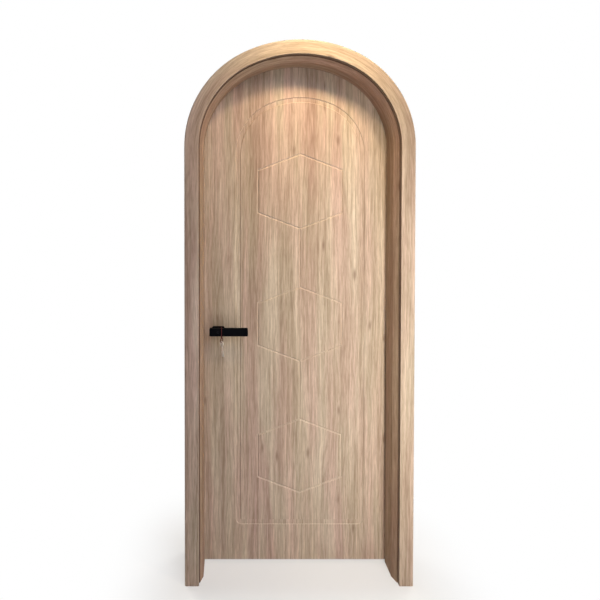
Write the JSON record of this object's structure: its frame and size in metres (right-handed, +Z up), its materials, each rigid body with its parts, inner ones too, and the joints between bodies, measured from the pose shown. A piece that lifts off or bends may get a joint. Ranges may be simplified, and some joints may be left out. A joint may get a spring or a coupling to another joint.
{
  "type": "arched door set",
  "caption": "Arched single-leaf interior door in a lined frame with casings, hinged on one side, with a lever latch, a key lock and keys on a tie.",
  "frame": {"origin": "floor level at the middle of the width and of the whole depth over the casings and the back lever", "axes": "+Z up, +X toward the hinge side seen from the front, +Y away from the front, the way that the leaf opens"},
  "size_m": [0.9, 0.196, 2.1399],
  "materials": {
    "wood_film": "satin wood-grain film",
    "core_board": "raw board",
    "steel": "satin",
    "black_metal": "matt black coating",
    "brass": "satin",
    "key_metal": "nickel",
    "seal_rubber": "matt",
    "tie_red": "matt"
  },
  "bodies": {
    "frame": {"lock_jamb": "wood_film", "hinge_jamb": "wood_film", "arch_jamb": "wood_film", "front_casing_lock": "wood_film", "front_casing_hinge": "wood_film", "front_casing_arch": "wood_film", "back_casing_lock": "wood_film", "back_casing_hinge": "wood_film", "back_casing_arch": "wood_film", "frame_seal": "seal_rubber", "head_dowels": "core_board", "strike_plate": "steel", "strike_box": "steel", "strike_screws": "steel", "low_jamb_plate": "steel", "mid_jamb_plate": "steel", "top_jamb_plate": "steel", "low_hinge_pin": "steel", "mid_hinge_pin": "steel", "top_hinge_pin": "steel", "jamb_plate_screws": "steel"},
    "leaf": {"front_skin": "wood_film", "back_skin": "wood_film", "hinge_stile": "wood_film", "lock_stile": "wood_film", "lock_block": "core_board", "foot_rail": "wood_film", "arch_rail": "wood_film", "leaf_core": "core_board", "low_leaf_plate": "steel", "mid_leaf_plate": "steel", "top_leaf_plate": "steel", "leaf_plate_screws": "steel", "lock_case": "steel", "lock_cover": "steel", "lock_faceplate": "steel", "faceplate_screws": "steel", "front_rose": "black_metal", "back_rose": "black_metal", "rose_bolts": "steel"},
    "handle": {"front_lever": "black_metal", "back_lever": "black_metal", "spindle": "steel", "follower": "steel", "key_tie": "tie_red", "key_a": "key_metal", "key_b": "key_metal"},
    "latch": {"latch_bolt": "brass", "latch_spring": "steel"},
    "lock_core": {"key_plug": "black_metal", "tailpiece": "brass", "turn_button": "black_metal"}
  },
  "joints": [
    {"name": "leaf_swing", "type": "hinge", "parent": "frame", "child": "leaf", "pos_m": [0.3875, 0.0585, 0.8975], "axis": [0, 0, -1], "range_deg": [0, 150]},
    {"name": "lever_turn", "type": "hinge", "parent": "leaf", "child": "handle", "pos_m": [-0.321, 0.032, 0.982], "axis": [0, 1, 0], "range_deg": [0, 40], "stiffness_Nm_per_rad": 2, "springref_deg": -20.05},
    {"name": "latch_slide", "type": "slide", "parent": "leaf", "child": "latch", "axis": [1, 0, 0], "range_m": [0, 0.0112], "deforming": ["latch_spring"]},
    {"name": "key_turn", "type": "hinge", "parent": "handle", "child": "lock_core", "pos_m": [-0.321, 0.032, 0.982], "axis": [0, 1, 0], "range_deg": [0, 90]}
  ],
  "couplings": [
    {"joint": "latch_slide", "follows": "lever_turn", "m_per_rad": 0.016042}
  ]
}
